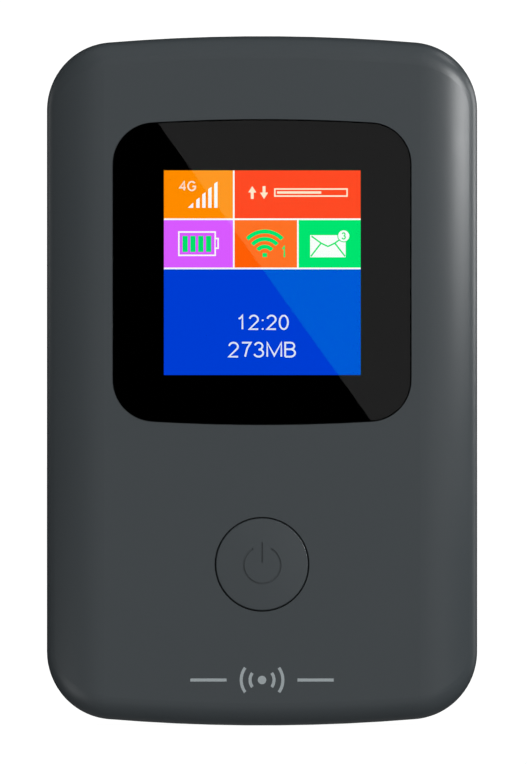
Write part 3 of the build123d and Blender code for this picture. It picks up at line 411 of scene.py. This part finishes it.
tile(0, 0, COLUMN_1, ROW_1, ORANGE)
tile(COLUMN_1, 0, 1, ROW_1, RED)
tile(0, ROW_1, COLUMN_1, ROW_2, VIOLET)
tile(COLUMN_1, ROW_1, COLUMN_2, ROW_2, AMBER)
tile(COLUMN_2, ROW_1, 1, ROW_2, GREEN)
tile(0, ROW_2, 1, 1, BLUE)
tile(0, ROW_1 - RULE, 1, ROW_1 + RULE, WHITE, 1)
tile(0, ROW_2 - RULE, 1, ROW_2 + RULE, WHITE, 1)
tile(COLUMN_1 - RULE, 0, COLUMN_1 + RULE, ROW_2, WHITE, 1)
tile(COLUMN_2 - RULE, ROW_1, COLUMN_2 + RULE, ROW_2, WHITE, 1)


def figures(text, left, top, right, bottom, weight, finish, level=2):
    """Figures that fill a box on the picture, with strokes weight of its height wide."""
    picture.figures(text, at((left + right) / 2, (top + bottom) / 2), (bottom - top) * PICTURE_HEIGHT,
                    (right - left) * PICTURE_WIDTH, weight * PICTURE_HEIGHT, picture_depth - level * LAYER,
                    finish)


figures("4G", 0.077, 0.051, 0.164, 0.1015, 0.0075, PEACH)
figures("12:20", 0.369, 0.705, 0.635, 0.780, 0.0086, PALE)
figures("273MB", 0.326, 0.8375, 0.671, 0.9145, 0.0086, PALE)

# traffic signs in place of a title: an arrow up, an arrow down and a level bar
ARROW_TOP = 0.0765
ARROW_FOOT = 0.1395
ARROW_HEAD = 0.0315              # height of the head
ARROW_HALF = 0.021
SHAFT_HALF = 0.0075
for middle, tip, tail, turn in ((0.449, ARROW_TOP, ARROW_FOOT, 1), (0.509, ARROW_FOOT, ARROW_TOP, -1)):
    neck = tip + turn * ARROW_HEAD
    shape([(middle - turn * SHAFT_HALF, tail), (middle + turn * SHAFT_HALF, tail),
           (middle + turn * SHAFT_HALF, neck), (middle + turn * ARROW_HALF, neck), (middle, tip),
           (middle - turn * ARROW_HALF, neck), (middle - turn * SHAFT_HALF, neck)], PEACH)
LEVEL_LINE = 0.0075
LEVEL_LEFT, LEVEL_TOP, LEVEL_RIGHT, LEVEL_FOOT = 0.560, 0.0870, 0.935, 0.1290
LEVEL_REACHED = 0.800
tile(LEVEL_LEFT, LEVEL_TOP, LEVEL_RIGHT, LEVEL_FOOT, PEACH, 2)
tile(LEVEL_LEFT + LEVEL_LINE, LEVEL_TOP + LEVEL_LINE, LEVEL_RIGHT - LEVEL_LINE, LEVEL_FOOT - LEVEL_LINE,
     RED, 3)
tile(LEVEL_LEFT + 2 * LEVEL_LINE, LEVEL_TOP + 2 * LEVEL_LINE, LEVEL_REACHED, LEVEL_FOOT - 2 * LEVEL_LINE,
     PEACH, 4)

# five rising signal bars with slanted tops, the first one a wedge
BAR_FOOT = 0.1825
BAR_WIDTH = 0.0168
BAR_PITCH = 0.0304
BAR_RISE = 0.0262
BAR_SLANT = 0.011
shape([(0.1215, BAR_FOOT), (0.149, BAR_FOOT), (0.149, 0.1575)], WHITE)
for i in range(4):
    left = 0.1645 + i * BAR_PITCH
    right = left + BAR_WIDTH
    top = 0.1325 - i * BAR_RISE
    shape([(left, BAR_FOOT), (right, BAR_FOOT), (right, top), (left, top + BAR_SLANT)], WHITE)

# battery outline with four green cells
BATTERY_LINE = 0.0075
CELL_WIDTH = 0.0263
CELL_PITCH = 0.0398
for left, top, right, bottom in ((0.072, 0.2970, 0.2645, 0.4187), (0.255, 0.329, 0.2794, 0.384)):
    tile(left, top, right, bottom, WHITE, 2)
    tile(left + BATTERY_LINE, top + BATTERY_LINE, right - BATTERY_LINE, bottom - BATTERY_LINE, VIOLET, 3)
for i in range(4):
    left = 0.0946 + i * CELL_PITCH
    tile(left, 0.320, left + CELL_WIDTH, 0.3987, GREEN, 4)

# wireless fan: a dot and three arcs, with a channel figure beside it
FAN = at(0.5127, 0.415)
FAN_STROKE = 0.0195
for radius, half_angle in ((0.1265, 47), (0.0895, 49), (0.0523, 53)):
    ring(picture, FAN, radius * PICTURE_HEIGHT, (radius - FAN_STROKE) * PICTURE_HEIGHT, 90 - half_angle,
         90 + half_angle, picture_depth - 2 * LAYER, GREEN)
tile(0.501, 0.4035, 0.5245, 0.4235, GREEN, 2)
figures("1", 0.594, 0.367, 0.626, 0.428, 0.0085, GREEN)

# envelope with its flap lines and a round counter
tile(0.7437, 0.3164, 0.924, 0.4245, WHITE, 2)
FLAP_LINE = 0.0072 * PICTURE_HEIGHT
FLAP = [[(0.750, 0.3210), (0.800, 0.3560), (0.834, 0.3715), (0.868, 0.3560), (0.918, 0.3210)],
        [(0.747, 0.4200), (0.797, 0.3580)], [(0.921, 0.4200), (0.871, 0.3580)]]
for route in FLAP:
    picture.stroke([at(u, v) for u, v in route], FLAP_LINE, picture_depth - 3 * LAYER, GREEN)
BADGE = at(0.9143, 0.3200)
BADGE_RIM = 0.0315 * PICTURE_HEIGHT
BADGE_FACE = 0.0272 * PICTURE_HEIGHT
BADGE_FIGURE = (0.036 * PICTURE_HEIGHT, 0.021 * PICTURE_HEIGHT, 0.006 * PICTURE_HEIGHT)
picture.polygon(arc_points(BADGE, BADGE_RIM, 0, 348, 29), picture_depth - 4 * LAYER, GREEN)
picture.polygon(arc_points(BADGE, BADGE_FACE, 0, 348, 29), picture_depth - 5 * LAYER, WHITE)
figure_height, figure_width, figure_weight = BADGE_FIGURE
picture.figures("3", BADGE, figure_height, figure_width, figure_weight, picture_depth - 6 * LAYER, GREEN)

display_picture = picture.build("housing")

# ---------------------------------------------------------------------------
# The printed mark under the button: a plain broadcast symbol between two rules

MARK_Z = 6.0 * MM
MARK_HALF = 9.3 * MM             # from the middle to the far end of a rule
MARK_RULE_START = 4.6 * MM
MARK_DOT = 0.55 * MM
MARK_ARCS = (1.55 * MM, 2.7 * MM)
MARK_ARC_HALF = 36               # degrees
MARK_LINE_HALF = 0.2 * MM
MARK_RISE = 0.02 * MM            # how far the ink stands off the casing
mark_depth = low.y - MARK_RISE
mark = Drawing("printed_mark")
mark.polygon(arc_points((0, MARK_Z), MARK_DOT, 0, 350, 35), mark_depth, ink)
for side in (0, 180):
    for radius in MARK_ARCS:
        ring(mark, (0, MARK_Z), radius + MARK_LINE_HALF, radius - MARK_LINE_HALF, side - MARK_ARC_HALF,
             side + MARK_ARC_HALF, mark_depth, ink)
    outer = MARK_HALF * cos(radians(side))
    inner = MARK_RULE_START * cos(radians(side))
    left, right = min(outer, inner), max(outer, inner)
    bottom, top = MARK_Z - MARK_LINE_HALF, MARK_Z + MARK_LINE_HALF
    mark.polygon([(left, bottom), (right, bottom), (right, top), (left, top)], mark_depth, ink)
printed_mark = mark.build("housing")

# ---------------------------------------------------------------------------
# Prints and traces seen with the cover and battery off. They face the rear.

label_ink = surface("label_ink", (0.05, 0.055, 0.06, 1), 0.6, grain=0.1 * MM, bump=0.0, contrast=0.1)
label_blue = surface("label_blue", (0.03, 0.12, 0.3, 1), 0.5, grain=0.1 * MM, bump=0.0, contrast=0.08)
PRINT_RISE = 0.01 * MM           # how far a print stands off its label
LINE_PITCH = 1.7 * MM
LINE_THICK = 0.5 * MM
BAR_UNIT = 0.12 * MM
BAR_WIDTHS = (3, 1, 2, 1, 4, 1, 1, 3, 2, 1, 3, 1, 2, 4, 1, 2)
BAR_GAPS = (1, 2, 1, 1, 2, 3, 1, 1, 2, 1, 1, 3, 1, 1, 2, 1)
BAR_CODE_HEIGHT = 5 * MM
PRINT_MARGIN = 2.5 * MM


def bar(drawing, left, bottom, right, top, depth, finish):
    """An upright rectangle."""
    drawing.polygon([(left, bottom), (right, bottom), (right, top), (left, top)], depth, finish)


def small_print(drawing, left, top, width, lengths, depth):
    """Lines of print too small to read, as thin bars; lengths are shares of the width."""
    for i, length in enumerate(lengths):
        line_top = top - i * LINE_PITCH
        bar(drawing, left, line_top - LINE_THICK, left + width * length, line_top, depth, label_ink)


def bar_code(drawing, left, bottom, depth):
    """Upright bars of uneven widths."""
    x = left
    for width, gap in zip(BAR_WIDTHS, BAR_GAPS):
        bar(drawing, x, bottom, x + width * BAR_UNIT, bottom + BAR_CODE_HEIGHT, depth, label_ink)
        x += (width + gap) * BAR_UNIT


label_low, label_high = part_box("battery_label")
print_depth = label_high.y + PRINT_RISE
cell_print = Drawing("battery_print")
BAND_MARGIN = 1.2 * MM
BAND_BOTTOM = 11 * MM
bar(cell_print, label_low.x + BAND_MARGIN, label_high.z - BAND_BOTTOM, label_high.x - BAND_MARGIN,
    label_high.z - BAND_MARGIN, print_depth, label_blue)
bolt = Vector((0, label_high.z - (BAND_MARGIN + BAND_BOTTOM) / 2))
cell_print.polygon([(bolt.x + u * MM, bolt.y + v * MM) for u, v in
                    ((0.9, 3.6), (-1.9, -0.6), (-0.2, -0.6), (-0.9, -3.6), (1.9, 0.6), (0.2, 0.6))],
                   print_depth + PRINT_RISE, paper)
CELL_TEXT_DROP = 14 * MM
CELL_TEXT_WIDTH = 33 * MM
CELL_CODE_Z = 11 * MM
CELL_SIDE_X, CELL_SIDE_Z = 18 * MM, 16 * MM      # print beside the bar code
CELL_SIDE_WIDTH = 17 * MM
small_print(cell_print, label_low.x + PRINT_MARGIN, label_high.z - CELL_TEXT_DROP, CELL_TEXT_WIDTH,
            (0.95, 0.88, 0.97, 0.7, 0.92, 0.4), print_depth)
bar_code(cell_print, label_low.x + PRINT_MARGIN, label_low.z + CELL_CODE_Z, print_depth)
small_print(cell_print, label_low.x + CELL_SIDE_X, label_low.z + CELL_SIDE_Z, CELL_SIDE_WIDTH,
            (0.9, 0.8, 0.95), print_depth)
# plus and minus over the outer contact pads
SIGN_Z = 3.2 * MM
PAD_INSET = 0.9 * MM
SIGN_HALF = 1.1 * MM
SIGN_LINE_HALF = 0.25 * MM
pads_low, pads_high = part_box("battery_pads")
for x, upright in ((pads_low.x + PAD_INSET, True), (pads_high.x - PAD_INSET, False)):
    z = label_low.z + SIGN_Z
    bar(cell_print, x - SIGN_HALF, z - SIGN_LINE_HALF, x + SIGN_HALF, z + SIGN_LINE_HALF, print_depth,
        label_ink)
    if upright:
        bar(cell_print, x - SIGN_LINE_HALF, z - SIGN_HALF, x + SIGN_LINE_HALF, z + SIGN_HALF,
            print_depth + PRINT_RISE, label_ink)
cell_print.build("battery")

label_low, label_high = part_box("bay_label")
print_depth = label_high.y + PRINT_RISE
bay_print = Drawing("bay_print")
BAY_MARGIN = 2 * MM
BAY_LINE_WIDTH = 30 * MM
BAY_CODE_Z = 9.5 * MM
BAY_SECOND_CODE_X = 16 * MM
BAY_FOOT_Z = 7 * MM
bay_left = label_low.x + BAY_MARGIN
small_print(bay_print, bay_left, label_high.z - PRINT_MARGIN, BAY_LINE_WIDTH,
            (0.55, 0.92, 0.8, 0.96, 0.6), print_depth)
bar_code(bay_print, bay_left, label_low.z + BAY_CODE_Z, print_depth)
bar_code(bay_print, label_low.x + BAY_SECOND_CODE_X, label_low.z + BAY_CODE_Z, print_depth)
small_print(bay_print, bay_left, label_low.z + BAY_FOOT_Z, BAY_LINE_WIDTH, (0.9, 0.75, 0.45), print_depth)
bay_print.build("housing")

# a copper line that winds to and fro along each antenna strip
TRACE_WIDTH = 0.35 * MM
TRACE_MARGIN_X = 0.5 * MM
TRACE_MARGIN_Z = 0.4 * MM
TRACE_PITCH = 1.6 * MM
TRACE_ZONE = 3.4 * MM            # the height of strip that the line takes up
traces = Drawing("antenna_traces")
for name in ("cellular_antenna", "diversity_antenna", "wifi_antenna"):
    strip_low, strip_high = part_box(name)
    span = strip_high.x - strip_low.x - 2 * TRACE_MARGIN_X
    reach = min(strip_high.z - strip_low.z, TRACE_ZONE) - 2 * TRACE_MARGIN_Z
    turns = max(2, int(span / TRACE_PITCH))
    ends = (strip_high.z - TRACE_MARGIN_Z - reach, strip_high.z - TRACE_MARGIN_Z)
    route = []
    for i in range(turns + 1):
        x = strip_low.x + TRACE_MARGIN_X + span * i / turns
        route += [(x, ends[i % 2]), (x, ends[1 - i % 2])]
    traces.stroke(route, TRACE_WIDTH, strip_high.y + PRINT_RISE, copper)
traces.build("housing")

# ---------------------------------------------------------------------------
# Studio: floor, lights and camera

VIEW_HEIGHT = 99.08 * MM         # what the frame's height takes in at the front face
CAMERA_DISTANCE = 1.3
AIM_X = 0.19 * MM                # the camera looks a little right of the middle
AIM_DROP = 0.15 * MM             # and a little below it

camera_data = bpy.data.cameras.new("camera")
camera_data.sensor_fit = "VERTICAL"
camera_data.sensor_height = 24.0
camera_data.lens = camera_data.sensor_height * CAMERA_DISTANCE / VIEW_HEIGHT
camera_data.clip_end = 20
camera = bpy.data.objects.new("camera", camera_data)
bpy.context.scene.collection.objects.link(camera)
camera.location = (AIM_X, low.y - CAMERA_DISTANCE, centre.z - AIM_DROP)
camera.rotation_euler = (radians(90), 0, 0)
bpy.context.scene.camera = camera

floor_mesh = bpy.data.meshes.new("floor")
FLOOR_HALF = 4.0
FLOOR_GAP = 0.02 * MM            # between the floor and the casing
FLOOR_GLOW = 0.98                # keeps the background an even white
floor_mesh.from_pydata([(-FLOOR_HALF, -FLOOR_HALF, 0), (FLOOR_HALF, -FLOOR_HALF, 0),
                        (FLOOR_HALF, FLOOR_HALF, 0), (-FLOOR_HALF, FLOOR_HALF, 0)], [], [(0, 1, 2, 3)])
floor = bpy.data.objects.new("floor", floor_mesh)
bpy.context.scene.collection.objects.link(floor)
floor_paper = surface("floor_paper", (0.06, 0.06, 0.06, 1), 0.9, grain=2 * MM, bump=0.0, contrast=0.01,
                      specular=0.0)
floor_glow = floor_paper.node_tree.nodes["Principled BSDF"]
floor_glow.inputs["Emission Color"].default_value = (1, 1, 1, 1)
floor_glow.inputs["Emission Strength"].default_value = FLOOR_GLOW
floor_mesh.materials.append(floor_paper)
floor.location.z = low.z - FLOOR_GAP
floor.visible_glossy = False
floor.visible_transmission = False
floor.visible_shadow = False


def panel_light(name, azimuth, elevation, distance, width, height, radiance, aim, diffuse=True, glossy=True):
    """A rectangular lamp that faces aim. Azimuth 0 is in front, 90 to the viewer's right.

    diffuse=False adds sheen alone, and glossy=False adds light without sheen.
    """
    lamp = bpy.data.lights.new(name, "AREA")
    lamp.shape = "RECTANGLE"
    lamp.size = width
    lamp.size_y = height
    lamp.energy = radiance * pi * width * height
    holder = bpy.data.objects.new(name, lamp)
    bpy.context.scene.collection.objects.link(holder)
    azimuth, elevation = radians(azimuth), radians(elevation)
    out = Vector((sin(azimuth) * cos(elevation), -cos(azimuth) * cos(elevation), sin(elevation)))
    holder.location = aim + out * distance
    holder.rotation_euler = out.to_track_quat("Z", "Y").to_euler()
    holder.visible_camera = False
    holder.visible_diffuse = diffuse
    holder.visible_glossy = glossy
    holder.visible_transmission = False
    return holder


# points on the rolled edges that the small lamps face
right_roll = Vector((high.x - 2 * MM, low.y + 2 * MM, 84 * MM))
right_low = Vector((high.x - 2 * MM, low.y + 2 * MM, 16 * MM))
left_roll = Vector((low.x + 2 * MM, low.y + 2 * MM, 70 * MM))
left_corner = Vector((low.x + 5 * MM, low.y + 2 * MM, low.z + 2 * MM))

# each row: name, azimuth, elevation, distance, width, height, radiance and aim
# the main lamp, high on the viewer's right
panel_light("key", 38, 28, 1.2, 1.0, 1.0, 6.3, centre, glossy=False)
# the bright line down the right edge, strongest at its top, and the rim behind it
panel_light("side_strip", 66, 4, 0.09, 0.042, 0.045, 16.8, right_roll, diffuse=False)
panel_light("rim_strip", 123, 0, 0.12, 0.035, 0.07, 5.6, right_roll, diffuse=False)
panel_light("corner_strip", 112, 46, 0.15, 0.05, 0.05, 4.0, right_roll, diffuse=False)
# wide soft panels on either side of the camera and overhead give the casing its even sheen
panel_light("sheen_left", -13, 0, 1.0, 0.32, 1.4, 0.33, centre, diffuse=False)
panel_light("sheen_right", 23, 0, 1.0, 0.70, 1.4, 0.33, centre, diffuse=False)
panel_light("sheen_top", 0, 78, 0.9, 1.2, 1.1, 0.26, centre, diffuse=False)
# faint lamps for the lower left corner and for the rims at the bottom, the left and the lower right
panel_light("left_low", -62, -18, 0.075, 0.055, 0.035, 1.2, left_corner, diffuse=False)
panel_light("bottom_rim", 180, -42, 1.0, 1.0, 0.8, 0.12, centre, diffuse=False)
panel_light("left_rim", -125, 4, 0.16, 0.03, 0.06, 1.15, left_roll, diffuse=False)
panel_light("rim_low", 123, 0, 0.12, 0.035, 0.045, 1.3, right_low, diffuse=False)
# a lamp that lights the power key alone, for the glint on its upper right edge
key_low, key_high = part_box("power_button")
key_middle = (key_low + key_high) / 2
key_edge = Vector((key_middle.x + 5 * MM, key_low.y, key_middle.z + 3.4 * MM))
glint = panel_light("key_glint", 60, 25, 0.3, 0.1, 0.12, 52.0, key_edge, diffuse=False)
lit_key = bpy.data.collections.new("lit_key")
lit_key.objects.link(nodes["power_button"])
glint.light_linking.receiver_collection = lit_key
# two soft lamps behind light the rear side
panel_light("rear_left", 214, 24, 1.1, 0.7, 0.7, 2.6, centre, glossy=False)
panel_light("rear_right", 148, 28, 1.1, 0.5, 0.7, 1.4, centre, glossy=False)

# a dim card behind the camera, whose slanted edge shows in the window as the boundary of its glare
CARD_DEPTH = 2.0
CARD_WIDTH, CARD_HEIGHT = 0.24, 0.40
CARD_RADIANCE = 0.205
edge_top = Vector((-13.5 * MM, 0, 78.2 * MM))      # two points of that edge, as seen on the window
edge_bottom = Vector((14.1 * MM, 0, 39.7 * MM))
card_scale = (CARD_DEPTH + CAMERA_DISTANCE + low.y) / CAMERA_DISTANCE    # from the window out to the card
edge_middle = (edge_top + edge_bottom) / 2
edge_lean = atan2(edge_bottom.x - edge_top.x, edge_top.z - edge_bottom.z)
seen_from = Vector((AIM_X, 0, centre.z - AIM_DROP))
card_edge = seen_from + (edge_middle - seen_from) * card_scale
across = Vector((cos(edge_lean), 0, sin(edge_lean)))
card_place = card_edge + across * CARD_WIDTH / 2
card = panel_light("glare_card", 0, 0, 1.0, CARD_WIDTH, CARD_HEIGHT, CARD_RADIANCE, centre, diffuse=False)
card.visible_transmission = True
card.location = (card_place.x, -CARD_DEPTH, card_place.z)
card.rotation_euler = (radians(90), 0, 0)
card.rotation_euler.rotate_axis("Z", edge_lean)
# a blue-green patch on the card lines up with the picture's reflection
PATCH_COLOUR = (0, 3.7, 1.2, 1)
card.data.use_nodes = True
card_tree = card.data.node_tree
card_geometry = card_tree.nodes.new("ShaderNodeNewGeometry")
card_split = card_tree.nodes.new("ShaderNodeSeparateXYZ")
card_tree.links.new(card_geometry.outputs["Position"], card_split.inputs["Vector"])


def within(value, middle, half):
    """1 where a value lies within half of middle, else 0."""
    compare = card_tree.nodes.new("ShaderNodeMath")
    compare.operation = "COMPARE"
    compare.inputs[1].default_value = middle
    compare.inputs[2].default_value = half
    card_tree.links.new(value, compare.inputs[0])
    return compare.outputs["Value"]


picture_middle = Vector((picture_left + PICTURE_WIDTH / 2, 0, picture_top - PICTURE_HEIGHT / 2))
patch_middle = seen_from + (picture_middle - seen_from) * card_scale
patch = card_tree.nodes.new("ShaderNodeMath")
patch.operation = "MULTIPLY"
patch_half_x = PICTURE_WIDTH / 2 * card_scale
patch_half_z = PICTURE_HEIGHT / 2 * card_scale
card_tree.links.new(within(card_split.outputs["X"], patch_middle.x, patch_half_x), patch.inputs[0])
card_tree.links.new(within(card_split.outputs["Z"], patch_middle.z, patch_half_z), patch.inputs[1])
card_tree.links.new(blend_colours(card_tree, patch.outputs["Value"], (1, 1, 1, 1), PATCH_COLOUR),
                    card_tree.nodes["Emission"].inputs["Color"])

# even light from all round, which no gloss or clear part shows
WORLD_STRENGTH = 1.1
world = bpy.data.worlds.new("studio")
bpy.context.scene.world = world
world.use_nodes = True
world.node_tree.nodes["Background"].inputs["Color"].default_value = (1, 1, 1, 1)
world.node_tree.nodes["Background"].inputs["Strength"].default_value = WORLD_STRENGTH
world.cycles_visibility.glossy = False
world.cycles_visibility.transmission = False

bpy.context.scene.view_settings.view_transform = "Standard"
